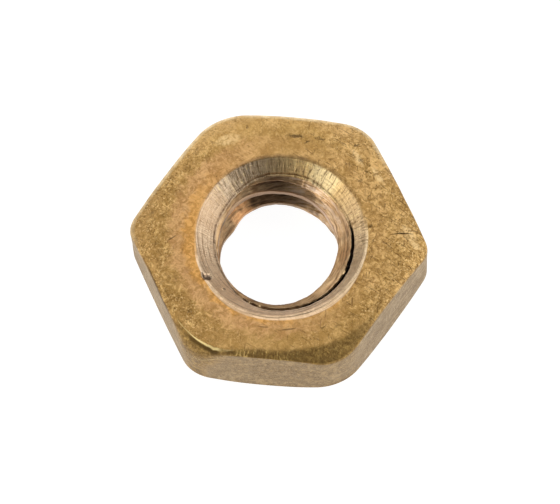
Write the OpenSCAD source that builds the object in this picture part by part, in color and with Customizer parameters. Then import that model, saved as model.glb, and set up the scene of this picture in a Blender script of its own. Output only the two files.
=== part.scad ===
// Thin (jam) hexagon nut, M4 x 0.7 right-hand thread, turned from brass hexagon bar.
// Origin: centre of the lower bearing face. Z runs up the thread axis.
// Corners of the hexagon lie on the X axis, one pair of flats faces front and back.

/* [Nut body] */
// Distance across opposite flats of the hexagon, mm
across_flats = 7; // [6.8:0.05:7.2]
// Height of the nut along the thread axis, mm
nut_h = 2.2; // [2:0.1:3.2]
// Diameter of the flat bearing face left inside the corner chamfer, mm
face_d = 6.5; // [6.3:0.05:6.7]
// Slope of the crowned corner chamfer at its middle, degrees
chamfer_angle = 30; // [20:1:32]
// Radius of the rounded hexagon corners, mm
corner_r = 0.55; // [0.4:0.05:0.9]

/* [Thread] */
// Nominal (root) diameter of the internal thread, mm
thread_d = 4; // [3.9:0.05:4.05]
// Thread pitch, mm per turn
pitch = 0.7; // [0.7:0.01:0.8]
// Diameter of the hole between the thread crests, mm
minor_d = 3.25; // [3.24:0.01:3.4]
// Angle where the groove crosses mid height, degrees
thread_phase = 322; // [0:1:359]
// Flats used to draw one full turn of the groove
turn_steps = 48; // [24:4:64]

/* [Countersinks] */
// Mouth diameter of the upper countersink, mm
csk_top_d = 4.6; // [4.2:0.05:5]
// Mouth diameter of the light lower countersink, mm
csk_bottom_d = 3.85; // [3.6:0.05:4.2]
// Included angle of both countersink cones, degrees
csk_angle = 90; // [80:5:120]

/* [Hidden] */
$fn = 96;
eps = 0.05;

// Hexagon body
apothem = across_flats / 2;
corner_c = (apothem - corner_r) / cos(30);
face_r = face_d / 2;
corner_reach = corner_c + corner_r;
crown_r = (face_r + corner_reach) / 2 / sin(chamfer_angle);
crown_sink = sqrt(crown_r * crown_r - face_r * face_r);

// Bore and countersinks
minor_r = minor_d / 2;
major_r = thread_d / 2;
csk_slope = tan(csk_angle / 2);
top_r = csk_top_d / 2;
bottom_r = csk_bottom_d / 2;
top_depth = (top_r - minor_r) / csk_slope;
bottom_depth = (bottom_r - minor_r) / csk_slope;

// Groove section: 60 degree flanks, root flat one eighth of the pitch
flank_t = tan(30);
root_half = pitch / 16;
inner_r = minor_r - 0.06;
inner_half = root_half + (major_r - inner_r) * flank_t;
groove_turns = nut_h / pitch + 1.4;
n_sec = ceil(groove_turns * turn_steps);

// Hexagon bar with rounded corners
module hex_bar() {
  linear_extrude(height = nut_h)
    polygon([
      for (i = [0 : 5])
        for (s = [-1, 1])
          let (a = 60 * i, b = a + 30 * s)
            [corner_c * cos(a) + corner_r * cos(b), corner_c * sin(a) + corner_r * sin(b)]
    ]);
  for (i = [0 : 5])
    rotate([0, 0, 60 * i])
      translate([corner_c, 0, 0])
        cylinder(h = nut_h, r = corner_r);
}

// Turned envelope: a shallow crown over each end leaves the flat face and the corner chamfers
module crown(z) {
  translate([0, 0, z])
    sphere(r = crown_r, $fn = 192);
}

// Tapping-drill bore with a countersink at each end
module bore_cut() {
  rotate([0, 0, 60])
    rotate_extrude()
      polygon([
        [0, -eps],
        [bottom_r + eps * csk_slope, -eps],
        [minor_r, bottom_depth],
        [minor_r, nut_h - top_depth],
        [top_r + eps * csk_slope, nut_h + eps],
        [0, nut_h + eps]
      ]);
}

// The four corners of groove section k on the right-hand helix
function groove_section(k) =
  let (
    t = (k - n_sec / 2) / turn_steps,
    a = thread_phase + 360 * t,
    z = nut_h / 2 + pitch * t
  )
  [
    [inner_r * cos(a), inner_r * sin(a), z - inner_half],
    [major_r * cos(a), major_r * sin(a), z - root_half],
    [major_r * cos(a), major_r * sin(a), z + root_half],
    [inner_r * cos(a), inner_r * sin(a), z + inner_half]
  ];

// Right-hand helical groove, longer than the nut at both ends
module thread_groove() {
  pts = [for (k = [0 : n_sec]) each groove_section(k)];
  walls = [
    for (k = [0 : n_sec - 1])
      for (j = [0 : 3])
        let (a = 4 * k + j, b = 4 * k + (j + 1) % 4)
          each [[a, b, b + 4], [a, b + 4, a + 4]]
  ];
  e = 4 * n_sec;
  caps = [[0, 3, 2], [0, 2, 1], [e, e + 1, e + 2], [e, e + 2, e + 3]];
  polyhedron(points = pts, faces = concat(walls, caps), convexity = 10);
}

// The whole nut is one turned and tapped piece
module hex_nut() {
  color([0.72, 0.58, 0.34])
    difference() {
      intersection() {
        hex_bar();
        crown(nut_h - crown_sink);
        crown(crown_sink);
      }
      bore_cut();
      thread_groove();
    }
}

hex_nut();
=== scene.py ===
"""Looks of a thin brass hexagon nut, M4 x 0.7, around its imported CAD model.

Lengths in the helpers are millimetres and the frame is the CAD's: Z is the thread axis, the lower
bearing face is z = 0, and two of the hexagon's corners lie on the X axis. Vertices are written in metres.
Camera angles are degrees round the thread axis: 0 is image right, 90 the back, 180 image left, -90 the front.
"""

import math

import bpy
import numpy as np
from mathutils import Matrix, Vector


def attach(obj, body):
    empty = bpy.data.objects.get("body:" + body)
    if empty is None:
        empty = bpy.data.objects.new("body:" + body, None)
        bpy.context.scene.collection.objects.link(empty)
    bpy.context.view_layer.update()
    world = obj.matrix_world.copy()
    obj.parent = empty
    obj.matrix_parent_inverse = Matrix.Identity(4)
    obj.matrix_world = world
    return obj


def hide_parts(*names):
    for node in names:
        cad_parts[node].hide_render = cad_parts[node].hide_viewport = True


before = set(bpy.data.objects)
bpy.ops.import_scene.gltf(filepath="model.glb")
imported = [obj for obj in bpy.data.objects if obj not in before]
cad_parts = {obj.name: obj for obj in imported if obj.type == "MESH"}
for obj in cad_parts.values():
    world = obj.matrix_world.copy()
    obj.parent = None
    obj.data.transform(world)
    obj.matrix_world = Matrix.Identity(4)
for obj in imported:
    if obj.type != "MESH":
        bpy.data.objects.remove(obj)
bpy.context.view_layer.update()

MM = 0.001
FLAT = 3.5  # half of the distance across flats
HEIGHT = 2.2
FACE_R = 3.25  # outside radius of the flat bearing face
CORNER_R = 0.55  # corner radius of the CAD bar
CORNER_C = (FLAT - CORNER_R) / math.cos(math.radians(30))
CROWN_R = (FACE_R + CORNER_C + CORNER_R) / 2 / math.sin(math.radians(30))
CROWN_SINK = math.sqrt(CROWN_R**2 - FACE_R**2)
MINOR_R = 1.625  # thread crest
MAJOR_R = 2.0  # thread root
PITCH = 0.7
THREAD_PHASE = math.radians(322)  # where the groove crosses half height
CONE_BOTTOM_R = 1.925  # mouth of the lower countersink
CAMERA_AZ = 9.33  # degrees from the frame's X axis to camera angle 0
CAMERA_EL = 67.06
CAMERA_ROLL = -4.05
CAMERA_DISTANCE = 84
N_AROUND = 520  # sections round the axis; with the rows it gives 199,680 triangles
INNER_R = 2.82  # where the rows of the crown hand over to those of the flat face
WORN_CORNER = -129  # camera angle of the front left corner, which is worn over
CORNER_WEAR = (0.56, 0.95, 1.4, 0.60, 0.88, 1.25)  # corner radius at 0, 60 ... 300 degrees
# Knocks: distance from the axis, camera angle, size, depth, length ratio, turn
DENTS = (
    (2.20, -151, 0.075, 0.07, 1.5, 12),
    (2.29, -153, 0.055, 0.05, 1.3, -20),
    (2.07, -138, 0.03, 0.03, 1.0, 0),
    (2.87, 77, 0.03, 0.012, 4.0, -10),
    (2.95, 64, 0.03, 0.012, 4.0, -12),
    (3.24, 101, 0.03, 0.02, 1.0, 90),
    (3.31, 47, 0.035, 0.02, 1.4, 30),
    (3.29, 127, 0.03, 0.015, 1.0, 0),
    (2.42, 0, 0.03, 0.012, 1.0, 0),
    (3.30, -4, 0.014, 0.025, 22.0, 4),
    (2.79, 178, 0.014, 0.015, 8.0, 30),
    (3.30, 20, 0.03, 0.012, 2.0, 40),
    (2.70, -125, 0.025, 0.012, 2.0, 60),
)

# Stains: distance from the axis, camera angle, size, strength, length ratio, turn
STAINS = (
    (2.87, 77, 0.05, 0.75, 4.5, -8),
    (2.97, 64, 0.04, 0.7, 3.5, -14),
    (3.24, 101, 0.04, 0.8, 1.8, 80),
    (3.31, 47, 0.05, 0.7, 1.6, 20),
    (3.29, 127, 0.04, 0.5, 1.4, 60),
    (3.05, 40, 0.04, 0.6, 1.8, 10),
    (2.95, 33, 0.035, 0.6, 2.2, -30),
    (2.66, 31, 0.05, 0.5, 1.4, 0),
    (2.46, 1, 0.035, 0.7, 1.5, 80),
    (2.50, -9, 0.03, 0.6, 2.5, 80),
    (3.27, -4, 0.020, 0.95, 15.0, 4),
    (3.55, -2, 0.014, 0.7, 12.0, 8),
    (2.79, 178, 0.02, 0.7, 7.0, 30),
    (2.72, -88, 0.025, 0.6, 9.0, 2),
    (2.66, -102, 0.02, 0.5, 7.0, -10),
    (3.02, -63, 0.03, 0.4, 3.0, 40),
    (3.40, 165, 0.04, 0.4, 2.0, 0),
    (3.30, -160, 0.05, 0.4, 2.0, 50),
    (2.78, 70, 0.03, 0.7, 3.0, 20),
    (3.12, 52, 0.03, 0.6, 2.6, -40),
    (2.72, 44, 0.03, 0.6, 2.4, -50),
    (2.62, 20, 0.03, 0.6, 2.6, 75),
    (2.55, -20, 0.025, 0.6, 3.0, 70),
    (2.95, 12, 0.03, 0.6, 2.6, 60),
    (3.30, 150, 0.035, 0.5, 2.4, 40),
    (3.42, 172, 0.03, 0.6, 2.2, -60),
    (3.15, -140, 0.03, 0.5, 3.0, 30),
    (2.90, -70, 0.03, 0.5, 3.0, 10),
)

# Rubbed patches: distance from the axis, camera angle, size, length ratio, turn
RUBBED = (
    (3.05, 42, 0.10, 3.0, -62),
    (3.12, 28, 0.09, 3.2, -60),
    (3.45, -4, 0.16, 1.6, -55),
    (3.62, -8, 0.12, 1.5, -50),
    (3.05, 112, 0.16, 2.2, 15),
)


# ---------------------------------------------------------------- noise
class Noise:
    """Smooth value noise on a seeded lattice, for points in millimetres."""

    def __init__(self, seed):
        self.grid = np.random.default_rng(seed).random((32, 32, 32)) * 2 - 1

    def __call__(self, x, y, z, size):
        p = [np.asarray(v, float) / size + 7.3 for v in (x, y, z)]
        i = [np.floor(v).astype(int) for v in p]
        f = [v - np.floor(v) for v in p]
        f = [v * v * (3 - 2 * v) for v in f]
        out = 0
        for a in (0, 1):
            for b in (0, 1):
                for c in (0, 1):
                    w = (f[0] if a else 1 - f[0]) * (f[1] if b else 1 - f[1]) * (f[2] if c else 1 - f[2])
                    out = out + w * self.grid[(i[0] + a) % 32, (i[1] + b) % 32, (i[2] + c) % 32]
        return out

    def layers(self, x, y, z, size, n=3):
        out, amp = 0, 1.0
        for k in range(n):
            out = out + amp * self(x + 3.1 * k, y - 1.7 * k, z + 0.9 * k, size / 2**k)
            amp *= 0.5
        return out


noise_a, noise_b = Noise(11), Noise(29)


def smooth(x, lo, hi):
    t = np.clip((x - lo) / (hi - lo), 0, 1)
    return t * t * (3 - 2 * t)


def wrap(a):
    return (a + np.pi) % (2 * np.pi) - np.pi


def at(deg, width, th):
    """A soft bump round the axis at an angle seen from the camera, in degrees."""
    d = wrap(th - math.radians(deg + CAMERA_AZ))
    return np.exp(-((d / math.radians(width)) ** 2))


def span(lo, hi, soft, th):
    """1 between two camera angles, in degrees, with soft ends."""
    mid, half = math.radians((lo + hi) / 2 + CAMERA_AZ), math.radians((hi - lo) / 2)
    return 1 - smooth(np.abs(wrap(th - mid)), half - math.radians(soft) / 2, half + math.radians(soft) / 2)


def around(th, *pairs):
    """Smooth value round the axis, through (camera angle, value) pairs."""
    deg = np.degrees(th) - CAMERA_AZ
    angles, values = [a % 360 for a, _ in pairs], [v for _, v in pairs]
    total = 0
    for k in np.linspace(-6, 6, 5):
        total = total + np.interp((deg + k) % 360, angles, values, period=360)
    return total / 5


# ---------------------------------------------------------------- shape
def hexagon_r(th):
    """Distance from the axis to the hexagon, whose six corners are worn to different radii."""
    worn = np.array(CORNER_WEAR)[np.round(th / (math.pi / 3)).astype(int) % 6]
    centre = (FLAT - worn) / math.cos(math.pi / 6)
    phi = np.abs((th + math.pi / 6) % (math.pi / 3) - math.pi / 6)
    corner = centre * np.cos(phi) + np.sqrt(np.maximum(worn**2 - (centre * np.sin(phi)) ** 2, 0))
    d = math.pi / 6 - phi
    return np.where(np.tan(d) * FLAT > centre * 0.5, corner, FLAT / np.cos(d))


def crown_z(r, soft, crease=FACE_R):
    """Top surface over the radius: flat inside the crease, then the crown, rounded by soft between them."""
    total, weight = 0, 0
    for k in np.linspace(-0.9, 0.9, 7):
        q = r + k * soft - crease + FACE_R
        drop = np.where(q < FACE_R, 0, CROWN_SINK - np.sqrt(np.maximum(CROWN_R**2 - q**2, 0)))
        total = total + drop * (1 - abs(k))
        weight += 1 - abs(k)
    return HEIGHT - total / weight


def rim_r(th):
    """Mouth of the upper countersink, which was cut a little off centre."""
    mouth = around(
        th, (-178, 2.175), (-159, 2.24), (-140, 2.29), (-120, 2.33), (-100, 2.335), (-60, 2.34), (-31, 2.35),
        (-10, 2.345), (5, 2.325), (24, 2.29), (45, 2.265), (90, 2.235), (135, 2.20), (160, 2.18),
    )
    return mouth + 0.008 * noise_b(3 * np.cos(th), 3 * np.sin(th), 1 + 0 * th, 1.0)


def crease_r(th):
    """Where the flat face ends and the chamfer starts; it lies further out at the worn front left corner."""
    return around(
        th, (-160, 3.25), (-138, 3.62), (-118, 3.64), (-108, 3.30), (-95, 3.27), (-80, 3.35), (-60, 3.42),
        (-30, 3.3), (0, 3.25), (180, 3.25),
    )


def wear_w(th):
    """Width of the rubbed band that lies outside the countersink's mouth, towards the front."""
    return around(
        th, (-178, 0.0), (-160, 0.03), (-148, 0.05), (-130, 0.09), (-110, 0.115), (-90, 0.11), (-72, 0.155),
        (-55, 0.16), (-44, 0.12), (-31, 0.06), (-10, 0.03), (15, 0.0),
    )


def crest_shift(th):
    """How far the tapped bore lies outside its place at each angle."""
    return around(
        th, (-10, -0.025), (-50, 0.05), (-90, 0.11), (-130, 0.05), (180, -0.005), (140, 0.01), (90, 0.05),
        (40, 0.0),
    )


def first_turn(z, th):
    """The uppermost turn is cut back at the left and the back."""
    cut = around(
        th, (20, 0), (40, 0.03), (58, 0.04), (75, 0.01), (92, 0.01), (103, 0.05), (110, 0.09), (121, 0.12),
        (132, 0.11), (145, 0.08), (160, 0.04), (180, 0.01), (-170, 0),
    )
    return smooth(z, 0.72, 0.95) * cut


def thread_r(z, th):
    """ISO internal thread, right-hand, 60 degree flanks. The turns wander up and down a little."""
    centre = HEIGHT / 2 + PITCH * (th - THREAD_PHASE) / (2 * math.pi)
    u = (z + 0.05 * at(185, 35, th) - 0.13 * at(92, 45, th) - centre) / PITCH
    u = np.abs(u - np.round(u)) * PITCH
    r = MAJOR_R - (u - PITCH / 16) / math.tan(math.radians(30))
    wander = 0.010 * noise_a(6 * np.cos(th), 6 * np.sin(th), 2 * z, 1.0)
    return np.clip(r, MINOR_R - 0.025 + wander + first_turn(z, th), MAJOR_R) + crest_shift(th)


def bore_r(z, th):
    """Radius of everything cut through the middle below the countersink's notch."""
    cone = rim_r(th) - (HEIGHT - z)
    low = CONE_BOTTOM_R - z
    # A thick burr on the lowest crest, at the back left, and a finer one along the right
    bur = at(141, 13, th) * np.exp(-(((z - 0.42) / 0.16) ** 2)) * 0.10
    bur = bur + span(-60, 20, 20, th) * np.exp(-(((z - 1.45) / 0.12) ** 2)) * 0.02
    return np.maximum(np.maximum(thread_r(z, th), cone), low) - bur


def notch_r(th):
    """Radius of the fold that the tap raised on the countersink."""
    return around(
        th, (-168, 1.70), (-150, 1.72), (-135, 1.80), (-124, 1.90), (-105, 2.01), (-92, 2.03), (-78, 2.045),
        (-62, 2.06), (-40, 2.03), (-10, 1.975), (13, 1.94), (27, 1.89), (45, 1.875), (64, 1.915), (77, 1.89),
        (100, 1.875), (120, 1.80), (140, 1.72), (157, 1.71), (175, 1.70),
    )


def spread(lo, hi, n, power=1.0):
    """n steps from lo up to but not including hi."""
    return lo + (hi - lo) * np.linspace(0, 1, n, endpoint=False) ** power


def curve(a, b, c, n):
    """n points of the quadratic curve from a to c, without c."""
    t = np.linspace(0, 1, n, endpoint=False)[None]
    return (1 - t) ** 2 * a + 2 * t * (1 - t) * b + t**2 * c


def build_profile():
    """Closed section r, z for every angle, each row's machined region, and where the tap's fold lies."""
    th = (np.arange(N_AROUND) + 0.5) * 2 * math.pi / N_AROUND
    T = th[:, None]
    R = hexagon_r(T)
    nick = noise_a(9 * np.cos(T), 9 * np.sin(T), 0 * T, 1.0)
    edge = (
        0.055
        + 0.015 * noise_a(3 * np.cos(T), 3 * np.sin(T), 0 * T, 1.3)
        + 0.015 * np.maximum(nick, 0)
        - 0.025 * span(-118, -80, 14, T)
    )
    soft = around(
        T, (-150, 0.25), (-135, 0.04), (-118, 0.05), (-105, 0.10), (-60, 0.16), (-30, 0.3), (60, 0.34),
        (150, 0.34),
    )
    crease = crease_r(T)
    # How far the edge round reaches inwards and downwards, more at the worn corner
    wide = edge + 0.16 * at(WORN_CORNER, 13, T) + 0.05 * at(-30, 18, T)
    deep = edge + 0.42 * at(WORN_CORNER, 12, T) + 0.15 * at(-69, 12, T) + 0.12 * at(-30, 18, T)
    z_top = crown_z(R, soft, crease)
    z_low = HEIGHT - crown_z(R, 0.2)
    rows_r, rows_z, region = [], [], []

    def add(r, z, name):
        r, z = np.broadcast_arrays(r, z)
        shape = (N_AROUND, r.shape[1])
        rows_r.append(np.broadcast_to(r, shape))
        rows_z.append(np.broadcast_to(z, shape))
        region.extend([name] * r.shape[1])

    add(R, z_low + edge + (z_top - deep - z_low - edge) * spread(0, 1, 12)[None], "side")
    r1 = R - wide
    add(
        curve(R, R, r1, 7),
        curve(z_top - deep, z_top - 0.10 * at(WORN_CORNER, 13, T), crown_z(r1, soft, crease), 7),
        "edge",
    )
    r = r1 + (INNER_R - r1) * spread(0, 1, 20)[None]
    add(r, crown_z(r, soft, crease), "crown")
    lip = 0.035 + 0.012 * noise_b(8 * np.cos(T), 8 * np.sin(T), 0 * T, 1.0)
    rim = rim_r(T)
    r = INNER_R + (rim + lip - INNER_R) * (1 - (1 - spread(0, 1, 20)[None]) ** 1.4)
    rubbed = rim + wear_w(T) + 0.010 * nick
    sunk = 0.02 * smooth(wear_w(T), 0, 0.05)
    add(r, HEIGHT - sunk * smooth(rubbed - r, -0.02, 0.03), "face")
    add(
        curve(rim + lip, rim, rim - lip * 0.7, 6),
        curve(HEIGHT - sunk, HEIGHT - sunk * 0.5, HEIGHT - lip * 0.7, 6),
        "lip",
    )
    # The cone down to the fold, the fold's gap, and the ridge inside it
    gap = notch_r(T) + 0.010 * noise_a(16 * np.cos(T), 16 * np.sin(T), 0 * T, 1.0)
    open_gap = around(
        T, (-140, 0), (-126, 0.5), (-118, 1), (-10, 1), (4, 0.6), (14, 0), (30, 0), (60, 0.12), (115, 0.12),
        (130, 0),
    )
    ragged = noise_b.layers(18 * np.cos(T), 18 * np.sin(T), 0 * T, 1.0, 2)
    width = 0.018 + open_gap * (0.020 + 0.020 * at(-38, 26, T) + 0.020 * at(-88, 24, T) + 0.010 * ragged)
    r_a, r_b = gap + width, gap - width - 0.03
    start = rim - lip * 0.7
    r = np.concatenate(
        [start + (r_a - start) * spread(0, 1, 18)[None], r_a + (r_b - r_a) * spread(0, 1, 12)[None]],
        1,
    )
    well = np.clip(1 - ((r - gap) / width) ** 2, 0, 1)
    torn = 0.02 * np.maximum(noise_b(40 * np.cos(T), 40 * np.sin(T), 0 * T, 1.0), -0.4) * open_gap
    ridge = torn * np.exp(-(((r - r_b) / 0.025) ** 2))
    add(r, HEIGHT - (rim - r) - 0.11 * open_gap * well**0.6 + ridge, "cone")
    z_b = HEIGHT - (rim - r_b)
    t = np.concatenate([spread(0, 0.55, 46), spread(0.55, 0.88, 20), spread(0.88, 1, 7)])[None]
    z = z_b + (0.04 - z_b) * t
    add(bore_r(z, T), z, "bore")
    add(curve(CONE_BOTTOM_R - 0.04, CONE_BOTTOM_R, CONE_BOTTOM_R + 0.04, 5), curve(0.04, 0, 0, 5), "lip_low")
    add(CONE_BOTTOM_R + 0.04 + (INNER_R - CONE_BOTTOM_R - 0.04) * spread(0, 1, 6)[None], 0.0, "face_low")
    r1 = R - edge
    r = INNER_R + (r1 - INNER_R) * spread(0, 1, 8)[None]
    add(r, HEIGHT - crown_z(r, 0.2), "crown_low")
    add(curve(r1, R, R, 5), curve(HEIGHT - crown_z(r1, 0.2), z_low, z_low + edge, 5), "edge_low")
    return T, np.concatenate(rows_r, 1), np.concatenate(rows_z, 1), np.array(region), gap, width, open_gap


def spot(x, y, r, deg, size, long=1.0, turn=0.0):
    """A soft round or long mark centred at radius r and a camera angle, in the plane of the face."""
    a = math.radians(deg + CAMERA_AZ)
    t = math.radians(turn + CAMERA_AZ)
    dx, dy = x - r * math.cos(a), y - r * math.sin(a)
    u, v = dx * math.cos(t) + dy * math.sin(t), -dx * math.sin(t) + dy * math.cos(t)
    return np.exp(-((u / (size * long)) ** 2) - (v / size) ** 2)


def build_nut():
    """The nut's mesh, with the attributes that tell the material where it is."""
    T, r, z, region, gap, width, open_gap = build_profile()
    x, y = r * np.cos(T), r * np.sin(T)
    # Outward normals of the section, for small dents and marks
    dr = np.roll(r, -1, 1) - np.roll(r, 1, 1)
    dz = np.roll(z, -1, 1) - np.roll(z, 1, 1)
    length = np.maximum(np.hypot(dr, dz), 1e-9)
    nr, nz = dz / length, -dr / length
    is_in = {n: np.broadcast_to((region == n)[None, :], r.shape) for n in set(region)}
    on_bore = is_in["bore"]
    still_cone = on_bore & (z > 1.5) & (np.abs(r - (rim_r(T) - HEIGHT + z)) < 0.015)
    bore = on_bore & ~still_cone
    depth = np.clip((r - crest_shift(T) - first_turn(z, T) - MINOR_R) / (MAJOR_R - MINOR_R), 0, 1) * bore
    # Painted shadow in the well of the fold's gap
    gap_shadow = is_in["cone"] * np.clip((HEIGHT - (rim_r(T) - r) - z) / 0.04 - 0.25, 0, 1)
    inside = (is_in["cone"] | still_cone) & (r < gap - 0.045)
    bore = bore | inside
    depth = np.where(inside, 0.3, depth)
    top = is_in["face"] | is_in["crown"] | is_in["edge"]
    side = is_in["side"].astype(float)
    cone = (is_in["cone"] | still_cone).astype(float)
    side[:, np.flatnonzero(region == "edge")] = 0
    side[:, np.flatnonzero(region == "edge")[:3]] = 1
    for mask, name, first, last in ((side, "edge_low", 0, 1), (cone, "lip", 0, 0.3)):
        where = np.flatnonzero(region == name)
        mask[:, where] = np.linspace(first, last, len(where))[None]
    flicker = noise_b.layers(22 * np.cos(T), 22 * np.sin(T), 0 * T, 1.0, 2)
    # Painted shade: a dark band on the front chamfer, outside the crease, a painted reflection of the dim
    # room
    crease = (
        crease_r(T)
        + 0.03 * noise_b(8 * np.cos(T), 8 * np.sin(T), 0 * T, 1.0)
        + 0.03 * flicker * span(-122, -84, 12, T)
    )
    band = (is_in["crown"] | is_in["edge"]) * smooth(r - crease, -0.05, 0.06) * span(-142, -48, 26, T)
    # Distance across the crease, 0.5 on it, and how much of the painted highlight, a thin bright line along
    # it, shows
    glint = (is_in["crown"] | is_in["edge"]) * np.clip(0.5 + (r - crease + 0.01) / 0.4, 0, 1)
    glint_here = (
        span(-140, -115, 6, T) * np.clip(0.8 + noise_a(20 * np.cos(T), 20 * np.sin(T), 0 * T, 1.0), 0, 1)
        + 0 * r
    )
    # Painted highlight on the outer edge at the back, and painted shade as a dark outline below the edge at
    # the left
    painted_edge_highlight = (
        (is_in["edge"] | is_in["crown"])
        * smooth(hexagon_r(T) - r, 0.16, 0.05)
        * span(35, 172, 30, T)
        * np.clip(0.55 + 0.35 * flicker, 0, 0.8)
    )
    painted_outline_shade = (
        (is_in["edge"] | is_in["side"]) * np.exp(-(((z - HEIGHT + 0.13) / 0.05) ** 2)) * span(168, 214, 10, T)
    )
    # Rubbed band outside the mouth, with a thin line at each side of it
    rim, wear = rim_r(T), wear_w(T)
    rubbed = is_in["face"] * smooth(rim + wear + 0.010 * flicker - r, -0.012, 0.012) * smooth(wear, 0.0, 0.03)
    cone = np.maximum(cone, rubbed * 0.9)
    cone = np.maximum(cone, is_in["lip"] * smooth(wear, 0.0, 0.03) * 0.95)
    near_mouth = is_in["face"] | is_in["lip"] | is_in["cone"]
    arcs = (
        np.exp(-(((r - rim - wear) / 0.012) ** 2)) * 0.55 + np.exp(-(((r - rim + 0.005) / 0.010) ** 2)) * 0.75
    )
    arcs = arcs + np.exp(-(((r - rim + 0.075) / 0.010) ** 2)) * 0.4 * span(-120, -40, 30, T)
    arcs = near_mouth * arcs * smooth(wear, 0.01, 0.05) * np.clip(0.75 + 0.6 * flicker, 0, 1)
    # Thin dark lines: the seam where the tap's fold lies closed, and painted shade inside it where it stands
    # open
    shut = around(
        T, (-10, 0), (12, 0.2), (25, 0.75), (100, 0.8), (113, 0.2), (122, 0.5), (140, 1.0), (180, 1.0),
        (-165, 1.0), (-140, 1.0), (-126, 1.0), (-116, 0.4), (-100, 0),
    )
    within = around(T, (32, 0), (20, 0.8), (-25, 0.8), (-60, 0.5), (-100, 0.8), (-118, 0.6), (-130, 0))
    upper = (is_in["cone"] | on_bore) & (z > 1.35)
    fold = (
        np.exp(-(((r - gap) / 0.024) ** 2)) * shut
        + np.exp(-(((r - gap + width + 0.10) / 0.022) ** 2)) * within
    )
    fold = fold + 0.8 * np.exp(-(((r - gap - width - 0.05) / 0.014) ** 2)) * span(-112, -62, 20, T)
    fold = upper * fold * np.clip(0.85 + 0.5 * flicker, 0, 1)
    # Painted highlight: the torn edge inside the open fold catches the light
    torn = (
        upper
        * np.exp(-(((r - gap + width + 0.022) / 0.020) ** 2))
        * open_gap
        * np.clip(0.5 + 1.2 * noise_a(26 * np.cos(T), 26 * np.sin(T), 0 * T, 1.0), 0, 1)
    )
    # Painted shade on the back of the cone and over much of the bore, and a painted shadow line round the
    # back of the mouth
    dim = (
        around(T, (58, 0), (72, 0.05), (88, 0.30), (100, 0.75), (116, 1.0), (126, 0.5), (138, 0.1), (150, 0))
        * (1 - 0.55 * smooth(r - rim, -0.35, -0.05) * span(30, 112, 20, T))
    )
    painted_bore_shade = np.where(
        z > 1.2,
        around(
            T, (15, 0), (50, 0), (66, 0.15), (76, 0.6), (84, 0.95), (98, 0.85), (107, 0.35), (126, 0.45),
            (140, 0.5), (180, 0.4), (-160, 0.1), (-135, 0.1), (-118, 0.8), (-80, 0.85), (-55, 0.4), (-35, 0),
        ),
        around(
            T, (-20, 0), (30, 0.05), (55, 0.2), (68, 0.7), (78, 1), (108, 1), (120, 0.8), (130, 0.5),
            (145, 0.8), (180, 0.8), (-165, 0.5), (-140, 0.1), (-120, 0),
        ),
    )
    painted_rim_shadow = (
        (is_in["face"] | is_in["lip"])
        * np.exp(-(((r - rim - 0.03) / 0.05) ** 2))
        * around(T, (-10, 0), (15, 0.3), (50, 0.7), (110, 1), (140, 0.3), (155, 0))
    )
    painted_rim_shadow = painted_rim_shadow * (0.65 + 0.45 * noise_a(14 * np.cos(T), 14 * np.sin(T), 0 * T, 1.0))
    # The worn corner looks like the top, and the painted shade band reaches down it to where it fades out
    off_corner = wrap(T - math.radians(CAMERA_AZ - 128.8))
    half_width = np.radians(4.6 + 7 * smooth(z, 0.9, 1.95) + 0.8 * flicker)
    funnel = np.exp(-((off_corner / half_width) ** 4)) * smooth(z, 0.0, 0.4)
    side *= 1 - 0.92 * funnel
    band = np.maximum(band, (is_in["side"] | is_in["edge"]) * 1.15 * funnel)
    # Push of each vertex outward from the metal: hammered look of the faces
    push = np.zeros_like(r)
    push -= np.where(top, 0.008 + 0.008 * noise_a.layers(x, y, z, 0.9), 0)
    push -= np.where(is_in["side"], 0.008 + 0.008 * noise_b.layers(x, y, z, 0.7), 0)
    # Chatter of the countersinking tool, strongest at the back
    mark = noise_b(30 * np.cos(T), 30 * np.sin(T), 0.5 * z, 1.0) * (0.35 + 0.65 * span(20, 165, 40, T))
    turned = noise_a(2 * np.cos(T), 2 * np.sin(T), 18 * z, 1.0) * (1 - span(20, 165, 40, T))
    push += np.where(cone > 0.5, 0.004 * mark + 0.003 * turned - 0.004, 0)
    push += np.where(bore, 0.006 * noise_b(14 * np.cos(T), 14 * np.sin(T), 6 * z, 1.0), 0)
    # The knocks that stand out, on the top only
    for q, deg, size, deep, long, turn in DENTS:
        push -= np.where(z > 1.75, deep * spot(x, y, q, deg, size, long, turn), 0)
    r = r + nr * push
    z = z + nz * push
    n_s = r.shape[1]
    co = np.stack([r * np.cos(T), r * np.sin(T), z], -1).reshape(-1, 3) * MM
    i = np.arange(N_AROUND)[:, None]
    j = np.arange(n_s)[None, :]
    i2, j2 = (i + 1) % N_AROUND, (j + 1) % n_s
    faces = np.stack([i * n_s + j, i2 * n_s + j, i2 * n_s + j2, i * n_s + j2], -1).reshape(-1, 4)
    mesh = bpy.data.meshes.new("hex_nut_brass")
    mesh.vertices.add(len(co))
    mesh.vertices.foreach_set("co", co.astype(np.float32).ravel())
    mesh.loops.add(faces.size)
    mesh.loops.foreach_set("vertex_index", faces.astype(np.int32).ravel())
    mesh.polygons.add(len(faces))
    mesh.polygons.foreach_set("loop_start", np.arange(0, faces.size, 4, dtype=np.int32))
    mesh.polygons.foreach_set("use_smooth", np.ones(len(faces), bool))
    mesh.update(calc_edges=True)
    mesh.validate()
    attributes = {
        "zone_side": side, "zone_cone": cone, "zone_bore": bore, "groove_depth": depth, "fold_gap_shadow": gap_shadow,
        "band": band, "glint": glint, "glint_here": glint_here, "painted_rim_shadow": painted_rim_shadow, "arcs": arcs,
        "fold": fold, "torn": torn, "dim": dim, "painted_bore_shade": painted_bore_shade, "painted_outline_shade": painted_outline_shade, "painted_edge_highlight": painted_edge_highlight,
    }
    for name, value in attributes.items():
        a = mesh.attributes.new(name, "FLOAT", "POINT")
        a.data.foreach_set("value", np.asarray(value, np.float32).ravel())
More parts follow.
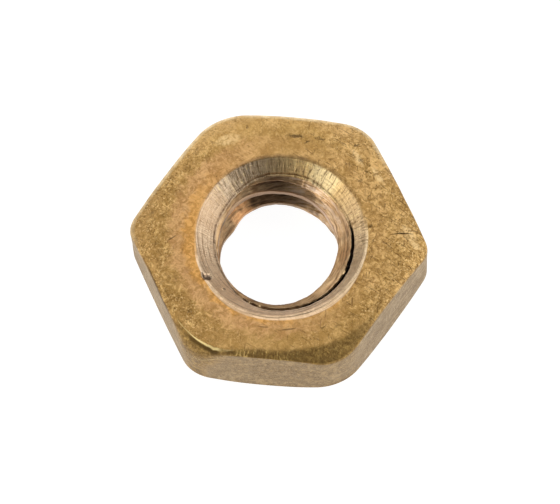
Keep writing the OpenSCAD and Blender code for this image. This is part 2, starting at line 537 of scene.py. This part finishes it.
    nut = bpy.data.objects.new("hex_nut_brass", mesh)
    bpy.context.scene.collection.objects.link(nut)
    return nut


# ---------------------------------------------------------------- material
class Shade:
    """Short names for building a node tree."""

    def __init__(self, name):
        self.mat = bpy.data.materials.new(name)
        self.mat.use_nodes = True
        self.tree = self.mat.node_tree
        self.tree.nodes.clear()

    def node(self, kind, **props):
        n = self.tree.nodes.new(kind)
        for k, v in props.items():
            setattr(n, k, v)
        return n

    def put(self, socket, value):
        if isinstance(value, bpy.types.NodeSocket):
            self.tree.links.new(value, socket)
        elif value is not None:
            socket.default_value = value

    def math(self, op, a, b=None, c=None, clamp=False):
        n = self.node("ShaderNodeMath", operation=op, use_clamp=clamp)
        for s, v in zip(n.inputs, (a, b, c)):
            self.put(s, v)
        return n.outputs[0]

    def vec(self, op, a, b=None):
        n = self.node("ShaderNodeVectorMath", operation=op)
        self.put(n.inputs[0], a)
        if op == "SCALE":
            self.put(n.inputs["Scale"], b)
        elif b is not None:
            self.put(n.inputs[1], b)
        return n.outputs["Value"] if op in ("LENGTH", "DOT_PRODUCT") else n.outputs["Vector"]

    def noise(self, vec, scale, detail=2.0, rough=0.5, distort=0.0):
        n = self.node("ShaderNodeTexNoise")
        self.put(n.inputs["Vector"], vec)
        for k, v in (("Scale", scale), ("Detail", detail), ("Roughness", rough), ("Distortion", distort)):
            n.inputs[k].default_value = v
        return n.outputs["Fac"]

    def step(self, value, lo, hi, a=0.0, b=1.0):
        n = self.node("ShaderNodeMapRange", interpolation_type="SMOOTHSTEP")
        for k, v in (("Value", value), ("From Min", lo), ("From Max", hi), ("To Min", a), ("To Max", b)):
            self.put(n.inputs[k], v)
        return n.outputs["Result"]

    def mix(self, fac, a, b, blend="MIX"):
        n = self.node("ShaderNodeMix", data_type="RGBA", blend_type=blend)
        self.put(n.inputs[0], fac)
        self.put(n.inputs[6], rgb(a))
        self.put(n.inputs[7], rgb(b))
        return n.outputs[2]

    def blend(self, fac, a, b):
        n = self.node("ShaderNodeMix", data_type="FLOAT")
        self.put(n.inputs[0], fac)
        self.put(n.inputs[2], a)
        self.put(n.inputs[3], b)
        return n.outputs[0]

    def attribute(self, name):
        return self.node("ShaderNodeAttribute", attribute_name=name).outputs["Fac"]


def rgb(value):
    """A socket as it is, or a display colour of 0 to 255 as a linear colour."""
    if isinstance(value, bpy.types.NodeSocket):
        return value
    lin = [(v / 255 / 12.92) if v <= 10 else ((v / 255 + 0.055) / 1.055) ** 2.4 for v in value]
    return (*lin, 1.0)


def warp(s, p):
    """Coordinates pushed about by noise, so that marks get ragged edges."""
    n = s.node("ShaderNodeTexNoise")
    s.put(n.inputs["Vector"], p)
    n.inputs["Scale"].default_value = 11.0
    n.inputs["Detail"].default_value = 2.0
    return n.outputs["Color"]


def blot(s, p, r, deg, size, long=1.0, turned=0.0):
    """A ragged mark centred at radius r and a camera angle on the top of the nut."""
    a, t = math.radians(deg + CAMERA_AZ), math.radians(turned + CAMERA_AZ)
    place = s.node("ShaderNodeMapping", vector_type="TEXTURE")
    s.put(place.inputs["Vector"], p)
    place.inputs["Location"].default_value = (r * math.cos(a), r * math.sin(a), HEIGHT)
    place.inputs["Rotation"].default_value = (0, 0, t)
    place.inputs["Scale"].default_value = (size * long, size, 0.6)
    return s.step(s.vec("LENGTH", place.outputs[0]), 1.25, 0.55)


def brass():
    """Worn brass: one tone for each zone, laid over one another by the mesh's attributes."""
    s = Shade("worn_brass")
    where = s.node("ShaderNodeTexCoord").outputs["Object"]
    p = s.vec("SCALE", where, 1000.0)  # millimetres
    split = s.node("ShaderNodeSeparateXYZ")
    s.put(split.inputs[0], p)
    x, y, z = split.outputs
    radius = s.math("SQRT", s.math("ADD", s.math("MULTIPLY", x, x), s.math("MULTIPLY", y, y)))
    cos_t, sin_t = s.math("DIVIDE", x, radius), s.math("DIVIDE", y, radius)
    side, cone, bore, depth = (
        s.attribute(n) for n in ("zone_side", "zone_cone", "zone_bore", "groove_depth")
    )
    gap, painted_shade_band, glint, painted_rim_shadow = (s.attribute(n) for n in ("fold_gap_shadow", "band", "glint", "painted_rim_shadow"))
    arcs, fold, torn, dim, painted_bore_shade = (s.attribute(n) for n in ("arcs", "fold", "torn", "dim", "painted_bore_shade"))
    painted_outline_shade, painted_edge_highlight = (s.attribute(n) for n in ("painted_outline_shade", "painted_edge_highlight"))

    def facing(deg):
        """1 towards a camera angle, -1 opposite."""
        a = math.radians(deg + CAMERA_AZ)
        return s.math("ADD", s.math("MULTIPLY", cos_t, math.cos(a)), s.math("MULTIPLY", sin_t, math.sin(a)))

    def xyz(a, b, c):
        n = s.node("ShaderNodeCombineXYZ")
        for k, v in enumerate((a, b, c)):
            s.put(n.inputs[k], v)
        return n.outputs[0]

    def times(v, k):
        return s.math("MULTIPLY", v, k)

    # Noise at several sizes, radial marks, marks that run round, and straight scratches
    rough_p = s.vec("ADD", p, s.vec("SCALE", s.vec("SUBTRACT", warp(s, p), (0.5, 0.5, 0.5)), 0.16))
    big = s.noise(p, 0.8, 3, 0.55, 0.5)
    mid = s.noise(p, 3.2, 4, 0.6, 0.5)
    small = s.noise(p, 9.0, 3, 0.6, 0.6)
    fine = s.noise(p, 20.0, 3, 0.65)
    grain = s.noise(p, 42.0, 2, 0.6)
    radial = s.noise(xyz(times(cos_t, 40.0), times(sin_t, 40.0), times(z, 4.5)), 1.0, 4, 0.7)
    round_cut = s.noise(xyz(times(cos_t, 1.3), times(sin_t, 1.3), times(radius, 22.0)), 1.0, 3, 0.65)
    turn = s.node("ShaderNodeVectorRotate", rotation_type="Z_AXIS")
    s.put(turn.inputs["Vector"], p)
    turn.inputs["Angle"].default_value = 0.5
    scratch_a = s.noise(s.vec("MULTIPLY", turn.outputs[0], (2.2, 30.0, 4.0)), 1.0, 2, 0.6)
    scratch_b = s.noise(s.vec("MULTIPLY", p, (26.0, 2.6, 4.0)), 1.0, 2, 0.6)

    # Golden olive patina of the faces, darker towards the front, more marked at the left and right
    along = s.vec("DOT_PRODUCT", p, tuple(direction(90, 0)))
    crisp = s.step(s.math("ABSOLUTE", facing(0)), 0.25, 0.85, 0.5, 1.2)
    cloud = s.noise(p, 1.7, 3, 0.55, 0.8)
    scale = s.noise(p, 5.5, 3, 0.6, 1.2)
    face = s.mix(s.step(big, 0.36, 0.64), (222, 180, 116), (202, 163, 98))
    face = s.mix(s.step(cloud, 0.40, 0.64, 0.0, 0.55), face, (174, 134, 72))
    face = s.mix(s.step(mid, 0.44, 0.60, 0.0, 0.6), face, (180, 140, 76))
    face = s.mix(s.step(along, -0.5, -3.0, 0.0, 0.3), face, (168, 130, 74))
    face = s.mix(
        s.math("MULTIPLY", s.step(facing(192), 0.3, 0.95), s.step(radius, 2.7, 3.2)),
        face,
        s.mix(0.5, face, (164, 124, 66)),
    )
    face = s.mix(s.math("MULTIPLY", s.step(scale, 0.50, 0.62), times(crisp, 0.6)), face, (156, 119, 62))
    face = s.mix(s.math("MULTIPLY", s.step(scale, 0.46, 0.36), times(crisp, 0.6)), face, (232, 192, 124))
    face = s.mix(s.math("MULTIPLY", s.step(small, 0.52, 0.64), times(crisp, 0.5)), face, (146, 110, 56))
    patch = s.math(
        "MULTIPLY",
        s.step(s.noise(p, 2.4, 2, 0.5, 0.6), 0.40, 0.60, 0.25, 1.0),
        s.step(radius, 2.6, 3.15, 0.45, 1.0),
    )
    speck = s.math("MULTIPLY", s.step(fine, 0.57, 0.66), patch)
    face = s.mix(s.math("MULTIPLY", speck, times(crisp, 0.8)), face, (110, 80, 40))
    face = s.mix(
        s.math("MULTIPLY", s.math("MULTIPLY", s.step(fine, 0.45, 0.35), patch), times(crisp, 0.65)),
        face,
        (242, 206, 144),
    )
    # Short scratches, mostly on the right, and short curved strokes all over
    lines = s.math("MAXIMUM", s.step(scratch_a, 0.62, 0.70), s.step(scratch_b, 0.64, 0.72))
    face = s.mix(s.math("MULTIPLY", lines, s.step(facing(-10), -0.6, 0.9, 0.25, 0.85)), face, (100, 72, 36))
    ridges = s.math("ABSOLUTE", s.math("SUBTRACT", s.noise(p, 4.5, 3, 0.6, 1.5), 0.5))
    strokes = s.math("MULTIPLY", s.step(ridges, 0.016, 0.004), s.step(s.noise(p, 3.1, 2, 0.5), 0.50, 0.58))
    face = s.mix(s.math("MULTIPLY", strokes, times(crisp, 0.75)), face, (104, 76, 38))
    # The painted shade band on the front chamfer, a painted reflection of the dim room, with pale nicks in it
    toothed = s.step(facing(-104), 0.93, 0.985)
    shade_band_tone = s.mix(s.step(mid, 0.46, 0.62), (136, 106, 54), (170, 136, 74))
    shade_band_tone = s.mix(s.step(small, 0.50, 0.60, 0.0, 0.55), shade_band_tone, (96, 72, 32))
    shade_band_tone = s.mix(s.step(small, 0.46, 0.38, 0.0, 0.5), shade_band_tone, (206, 170, 98))
    shade_band_tone = s.mix(
        s.math("MULTIPLY", s.step(radial, 0.48, 0.42), times(toothed, 0.7)),
        shade_band_tone,
        (92, 68, 30),
    )
    shade_band_tone = s.mix(
        s.math("MULTIPLY", s.step(radial, 0.53, 0.60), times(toothed, 0.9)),
        shade_band_tone,
        (244, 208, 128),
    )
    shade_band_tone = s.mix(s.step(scale, 0.50, 0.62, 0.0, 0.4), shade_band_tone, (110, 84, 40))
    face = s.mix(times(painted_shade_band, 0.72), face, shade_band_tone)
    # Painted highlight: the thin bright line on the crease, wider at the corner, with a painted shade line
    # outside it
    away = s.math("ABSOLUTE", s.math("SUBTRACT", glint, 0.5))
    wide = s.blend(s.step(facing(-122), 0.985, 0.999), 0.045, 0.10)
    lit = s.math("MULTIPLY", s.step(away, wide, times(wide, 0.35)), s.attribute("glint_here"))
    under = s.math("MULTIPLY", s.step(glint, 0.85, 0.70), s.attribute("glint_here"))
    face = s.mix(s.math("MULTIPLY", s.step(glint, 0.48, 0.66), under), face, (98, 74, 34))
    face = s.mix(lit, face, (255, 230, 160))
    # Painted shadow line round the back of the mouth
    face = s.mix(painted_rim_shadow, face, (84, 66, 40))
    # A pinker worn ring, and a narrower golden fringe against the countersink, stronger at the left and front
    edge = s.math("ADD", radius, s.math("MULTIPLY", s.math("SUBTRACT", mid, 0.5), 0.8))
    worn = s.step(facing(195), -0.6, 0.6, 0.15, 0.8)
    ring = s.math("MULTIPLY", s.step(edge, 2.7, 3.05, 0.8, 0.0), worn)
    face = s.mix(ring, face, s.mix(s.step(scale, 0.4, 0.62), (218, 170, 118), (190, 142, 90)))
    fringe = s.math("MULTIPLY", s.step(edge, 2.36, 2.62, 1.0, 0.0), s.step(facing(225), -0.5, 0.6))
    face = s.mix(times(fringe, 0.8), face, s.mix(s.step(scale, 0.4, 0.60), (230, 174, 96), (196, 142, 70)))
    arc = s.math("MULTIPLY", s.step(round_cut, 0.56, 0.70), s.step(radius, 2.45, 2.85, 0.6, 0.0))
    face = s.mix(s.math("MULTIPLY", arc, s.step(facing(-90), 0.2, 0.9)), face, (120, 86, 54))
    # Rubbed paler along the right edge and at the right corner
    for q, deg, size, long, turned in RUBBED:
        rub = blot(s, rough_p, q, deg, size, long, turned)
        face = s.mix(
            s.math("MULTIPLY", rub, s.step(scale, 0.62, 0.42, 0.15, 0.7)), face, (240, 206, 148)
        )
    # Painted highlight along the outer edge at the back
    face = s.mix(painted_edge_highlight, face, (255, 232, 188))
    # Small pits all over
    pit = s.step(s.noise(p, 5.5, 3, 0.75, 0.8), 0.66, 0.75)
    face = s.mix(times(pit, 0.6), face, (96, 70, 38))

    # Stains that stand out, each where it lies on the face; the long ones are scratches with clean edges
    broken = s.step(s.noise(p, 13.0, 2, 0.6, 0.6), 0.38, 0.52, 0.25, 1.0)
    for q, deg, size, dark, long, turned in STAINS:
        stain = blot(s, rough_p if long < 6 else p, q, deg, size, long, turned)
        if long < 6:
            stain = s.math("MULTIPLY", stain, broken)
        face = s.mix(times(stain, dark), face, (74, 54, 30))

    # Sawn and drawn side flats: greyer, with pale grain and brown streaks along the bar
    drawn = s.noise(s.vec("MULTIPLY", p, (1.6, 1.6, 9.0)), 1.0, 4, 0.65)
    side_tone = s.mix(s.step(big, 0.38, 0.62), (186, 160, 122), (160, 132, 92))
    side_tone = s.mix(s.step(drawn, 0.44, 0.58, 0.0, 0.8), side_tone, (138, 110, 72))
    hatch = s.noise(xyz(times(cos_t, 4.5), times(sin_t, 4.5), times(z, 19.0)), 1.0, 4, 0.6, 0.5)
    upright = s.noise(xyz(times(cos_t, 26.0), times(sin_t, 26.0), times(z, 2.2)), 1.0, 3, 0.6, 0.6)
    side_tone = s.mix(s.step(hatch, 0.52, 0.60, 0.0, 0.5), side_tone, (122, 96, 62))
    side_tone = s.mix(s.step(hatch, 0.46, 0.40, 0.0, 0.4), side_tone, (218, 196, 160))
    some = s.step(mid, 0.42, 0.58)
    side_tone = s.mix(
        s.math("MULTIPLY", s.step(upright, 0.54, 0.60, 0.0, 0.45), some),
        side_tone,
        (116, 90, 56),
    )
    side_tone = s.mix(
        s.math("MULTIPLY", s.step(upright, 0.45, 0.39, 0.0, 0.35), some),
        side_tone,
        (220, 198, 162),
    )
    side_tone = s.mix(
        s.step(facing(-90), 0.75, 0.98, 0.0, 0.65),
        side_tone,
        s.mix(s.step(scale, 0.42, 0.58), (190, 158, 108), (132, 104, 62)),
    )
    side_tone = s.mix(s.step(small, 0.47, 0.64, 0.0, 0.6), side_tone, (134, 108, 72))
    side_tone = s.mix(s.step(grain, 0.58, 0.42, 0.0, 0.35), side_tone, (206, 184, 150))
    side_tone = s.mix(s.step(fine, 0.55, 0.68, 0.0, 0.55), side_tone, (108, 84, 52))

    # Countersink, with painted reflections: silvery at the left, yellow at the upper right, greyer at the
    # right, each side's tone standing in for what it reflects
    cone_tone = s.mix(s.step(facing(40), 0.3, 0.95), (250, 224, 190), (252, 214, 142))
    cone_tone = s.mix(s.step(facing(-15), 0.6, 0.95, 0.0, 0.7), cone_tone, (246, 222, 184))
    cone_tone = s.mix(s.step(facing(-100), 0.5, 0.95, 0.0, 0.6), cone_tone, (236, 200, 158))
    cone_tone = s.mix(s.step(scale, 0.44, 0.60, 0.0, 0.35), cone_tone, (196, 160, 120))
    cone_tone = s.mix(s.step(facing(20), 0.93, 0.985, 0.0, 0.6), cone_tone, (198, 166, 118))
    cone_tone = s.mix(s.step(facing(50), 0.965, 0.995, 0.0, 0.6), cone_tone, (255, 236, 186))
    cone_tone = s.mix(s.step(facing(152), 0.93, 0.985, 0.0, 0.55), cone_tone, (196, 162, 126))
    cone_tone = s.mix(s.step(facing(-42), 0.9, 0.98, 0.0, 0.35), cone_tone, (200, 168, 126))
    # Painted shade over the back of the countersink, streaked along the radial marks
    cone_tone = s.mix(
        times(dim, 0.62),
        cone_tone,
        s.mix(s.step(radial, 0.44, 0.60), (156, 130, 92), (100, 80, 56)),
    )
    marks = s.math("MULTIPLY", s.step(radial, 0.51, 0.60), s.step(facing(60), -0.1, 0.6, 0.06, 0.7))
    cone_tone = s.mix(marks, cone_tone, (132, 104, 66))
    pale = s.math("MULTIPLY", s.step(radial, 0.44, 0.36), s.step(facing(70), -0.2, 0.6, 0.0, 0.6))
    cone_tone = s.mix(pale, cone_tone, (255, 228, 164))
    cuts = s.math("MULTIPLY", s.step(round_cut, 0.50, 0.64), s.step(facing(230), -0.5, 0.5, 0.15, 0.6))
    cone_tone = s.mix(cuts, cone_tone, (172, 138, 102))
    cone_tone = s.mix(times(speck, 0.35), cone_tone, (120, 92, 62))
    cone_tone = s.mix(
        times(blot(s, rough_p, 2.20, -151, 0.085, 1.6, 12), 0.95),
        cone_tone,
        s.mix(s.step(small, 0.4, 0.6), (58, 42, 30), (120, 100, 84)),
    )
    cone_tone = s.mix(times(blot(s, rough_p, 2.02, -138, 0.035, 1.2, 0), 0.7), cone_tone, (90, 66, 42))
    # Brown smudge where the fold opens, at the front left
    cone_tone = s.mix(times(blot(s, rough_p, 1.86, -130, 0.07, 2.4, -42), 0.6), cone_tone, (110, 76, 46))
    cone_tone = s.mix(arcs, cone_tone, (96, 70, 48))
    # Painted shadow line round the back of the mouth
    cone_tone = s.mix(painted_rim_shadow, cone_tone, (84, 66, 40))

    # Thread flanks: golden with brown streaks that run round
    streak = s.noise(xyz(times(cos_t, 3.0), times(sin_t, 3.0), times(z, 22.0)), 1.0, 4, 0.65)
    flank = s.mix(s.step(mid, 0.4, 0.62), (252, 214, 162), (230, 186, 134))
    flank = s.mix(s.step(streak, 0.50, 0.62, 0.0, 0.6), flank, (150, 108, 72))
    # Painted highlight: pale streaks on the flanks at the right
    flank = s.mix(
        s.math("MULTIPLY", s.step(streak, 0.52, 0.42, 0.0, 0.9), s.step(facing(52), 0.5, 0.9)),
        flank,
        (255, 226, 196),
    )
    # Painted shade over much of the bore, darker still deep in the groove
    shaded = s.mix(s.step(streak, 0.42, 0.60), (136, 102, 72), (66, 46, 30))
    shaded = s.mix(s.step(depth, 0.12, 0.5, 0.0, 0.45), shaded, (60, 44, 30))
    flank = s.mix(times(painted_bore_shade, 0.85), flank, shaded)
    # A copper highlight on the lowest crest at the left back
    copper = s.math(
        "MULTIPLY",
        s.math("MULTIPLY", s.step(facing(124), 0.968, 0.999), s.step(z, 1.0, 0.8)),
        s.step(z, 0.35, 0.5),
    )
    copper = s.math("MULTIPLY", copper, s.step(streak, 0.62, 0.46, 0.35, 1.0))
    flank = s.mix(times(copper, 0.95), flank, (255, 194, 134))
    flank = s.mix(s.step(facing(16), 0.92, 0.985, 0.0, 0.55), flank, (178, 146, 110))
    # Painted shadow in the groove root, painted highlight on the crests, and the fold's lines: a dark seam
    # where it lies shut, painted shade inside where it stands open
    root = s.math("MULTIPLY", s.step(depth, 0.66, 0.86), s.step(facing(50), 0.90, 0.98, 1.0, 0.45))
    bore_tone = s.mix(root, flank, (36, 24, 15))
    painted_crest_highlight = s.math("MULTIPLY", s.step(depth, 0.08, 0.02), s.step(z, 0.75, 0.9))
    painted_crest_highlight = s.math("MULTIPLY", painted_crest_highlight, s.step(facing(70), 0.45, 0.85, 0.1, 1.0))
    bore_tone = s.mix(
        times(painted_crest_highlight, 0.8),
        bore_tone,
        s.mix(s.step(facing(90), 0.5, 0.9), (226, 190, 156), (168, 134, 104)),
    )
    bore_tone = s.mix(times(fold, 0.85), bore_tone, (84, 54, 32))
    # Painted highlight on the torn edge of the fold
    bore_tone = s.mix(torn, bore_tone, (255, 222, 168))
    # Painted shadow in the fold's gap
    bore_tone = s.mix(gap, bore_tone, (26, 16, 10))
    # The fold's dark lines and the torn edge's painted highlight, on the countersink too
    cone_tone = s.mix(times(fold, 0.85), cone_tone, (92, 62, 38))
    cone_tone = s.mix(torn, cone_tone, (255, 222, 168))

    # The zones over one another
    colour = s.mix(side, face, side_tone)
    colour = s.mix(cone, colour, cone_tone)
    colour = s.mix(bore, colour, bore_tone)
    # Painted shade: a dark outline below the edge at the left
    colour = s.mix(times(painted_outline_shade, 0.8), colour, (92, 70, 44))
    # Painted shadow in the fold's gap over every zone, browner towards the front
    colour = s.mix(gap, colour, s.mix(s.step(facing(-100), 0.80, 0.97), (26, 16, 10), (64, 38, 22)))

    rough = s.blend(s.step(fine, 0.35, 0.7), 0.40, 0.58)
    rough = s.blend(cone, rough, 0.33)
    rough = s.blend(bore, rough, 0.36)
    rough = s.blend(side, rough, 0.55)

    flat_height = s.math("ADD", times(grain, 0.45), times(fine, 0.7))
    flat_height = s.math("ADD", flat_height, s.math("ADD", times(pit, -0.8), times(lines, -0.4)))
    cone_height = s.math("ADD", times(radial, 0.9), times(round_cut, 0.7))
    height = s.blend(cone, flat_height, cone_height)
    height = s.blend(bore, height, streak)
    bump = s.node("ShaderNodeBump")
    bump.inputs["Strength"].default_value = 0.6
    bump.inputs["Distance"].default_value = 0.03 * MM
    s.put(bump.inputs["Height"], height)

    shader = s.node("ShaderNodeBsdfPrincipled")
    shader.inputs["Metallic"].default_value = 0.85
    s.put(shader.inputs["Base Color"], colour)
    s.put(shader.inputs["Roughness"], rough)
    s.put(shader.inputs["Normal"], bump.outputs["Normal"])
    out = s.node("ShaderNodeOutputMaterial")
    s.put(out.inputs["Surface"], shader.outputs[0])
    return s.mat


# ---------------------------------------------------------------- stage, light, camera
def floor():
    """A large sheet of white paper, just under the nut."""
    side, drop = 1.5, -2e-5
    corners = [(-side, -side, drop), (side, -side, drop), (side, side, drop), (-side, side, drop)]
    mesh = bpy.data.meshes.new("floor")
    mesh.from_pydata(corners, [], [(0, 1, 2, 3)])
    obj = bpy.data.objects.new("floor", mesh)
    bpy.context.scene.collection.objects.link(obj)
    s = Shade("white_paper")
    diffuse = s.node("ShaderNodeBsdfDiffuse")
    diffuse.inputs["Color"].default_value = (0.2, 0.2, 0.2, 1)
    glow = s.node("ShaderNodeEmission")
    glow.inputs["Strength"].default_value = 0.95
    both = s.node("ShaderNodeAddShader")
    s.put(both.inputs[0], diffuse.outputs[0])
    s.put(both.inputs[1], glow.outputs[0])
    out = s.node("ShaderNodeOutputMaterial")
    s.put(out.inputs["Surface"], both.outputs[0])
    mesh.materials.append(s.mat)


def direction(az, el):
    """Unit vector towards a light, from the camera's own azimuth: 0 is image right, 90 the back."""
    a, e = math.radians(az + CAMERA_AZ), math.radians(el)
    return Vector((math.cos(a) * math.cos(e), math.sin(a) * math.cos(e), math.sin(e)))


def lamp(name, az, el, size, radiance, colour=(1, 1, 1), distance=0.3):
    """A square soft box of a given radiance, facing the nut."""
    data = bpy.data.lights.new(name, "AREA")
    data.shape = "SQUARE"
    data.size = size
    data.energy = radiance * math.pi * size * size
    data.color = colour
    obj = bpy.data.objects.new(name, data)
    bpy.context.scene.collection.objects.link(obj)
    way = direction(az, el)
    obj.location = way * distance
    obj.rotation_euler = way.to_track_quat("Z", "Y").to_euler()
    obj.visible_camera = False
    return obj


def lights():
    """Three soft walls and a small overhead, in a dim room."""
    lamp("back_wall", 90, 38, 0.55, 1.05)
    lamp("left_wall", 190, 20, 0.36, 1.7, (1, 0.98, 0.95))
    lamp("right_wall", -8, 20, 0.34, 1.7)
    lamp("overhead", 60, 80, 0.2, 0.5)
    world = bpy.data.worlds.new("studio")
    world.use_nodes = True
    tree = world.node_tree
    bg = tree.nodes["Background"]
    bg.inputs["Color"].default_value = (0.95, 0.97, 1.0, 1)
    # The camera sees pale paper behind the floor; the nut sees a dim room
    path = tree.nodes.new("ShaderNodeLightPath")
    reach = tree.nodes.new("ShaderNodeMapRange")
    tree.links.new(path.outputs["Is Camera Ray"], reach.inputs["Value"])
    reach.inputs["To Min"].default_value = 0.10
    reach.inputs["To Max"].default_value = 0.95
    tree.links.new(reach.outputs["Result"], bg.inputs["Strength"])
    bpy.context.scene.world = world
    bpy.context.scene.view_settings.view_transform = "Standard"


def camera():
    """The photograph's own view: a long lens, steeply down on the nut."""
    az, el, roll = (math.radians(v) for v in (CAMERA_AZ, CAMERA_EL, CAMERA_ROLL))
    back = Vector((math.sin(az) * math.cos(el), -math.cos(az) * math.cos(el), math.sin(el)))
    right = Vector((math.cos(az), math.sin(az), 0))
    up = back.cross(right)
    right, up = right * math.cos(roll) + up * math.sin(roll), -right * math.sin(roll) + up * math.cos(roll)
    data = bpy.data.cameras.new("camera")
    data.sensor_width = 36
    data.lens = 200.5
    data.shift_y = 0.0253
    data.shift_x = -0.0003
    data.clip_start = 0.001
    obj = bpy.data.objects.new("camera", data)
    bpy.context.scene.collection.objects.link(obj)
    turn = Matrix((right, up, back)).transposed().to_4x4()
    obj.matrix_world = Matrix.Translation(back * CAMERA_DISTANCE * MM) @ turn
    bpy.context.scene.camera = obj


nut = build_nut()
nut.data.materials.append(brass())
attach(nut, "root")
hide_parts("hex_nut")
floor()
lights()
camera()
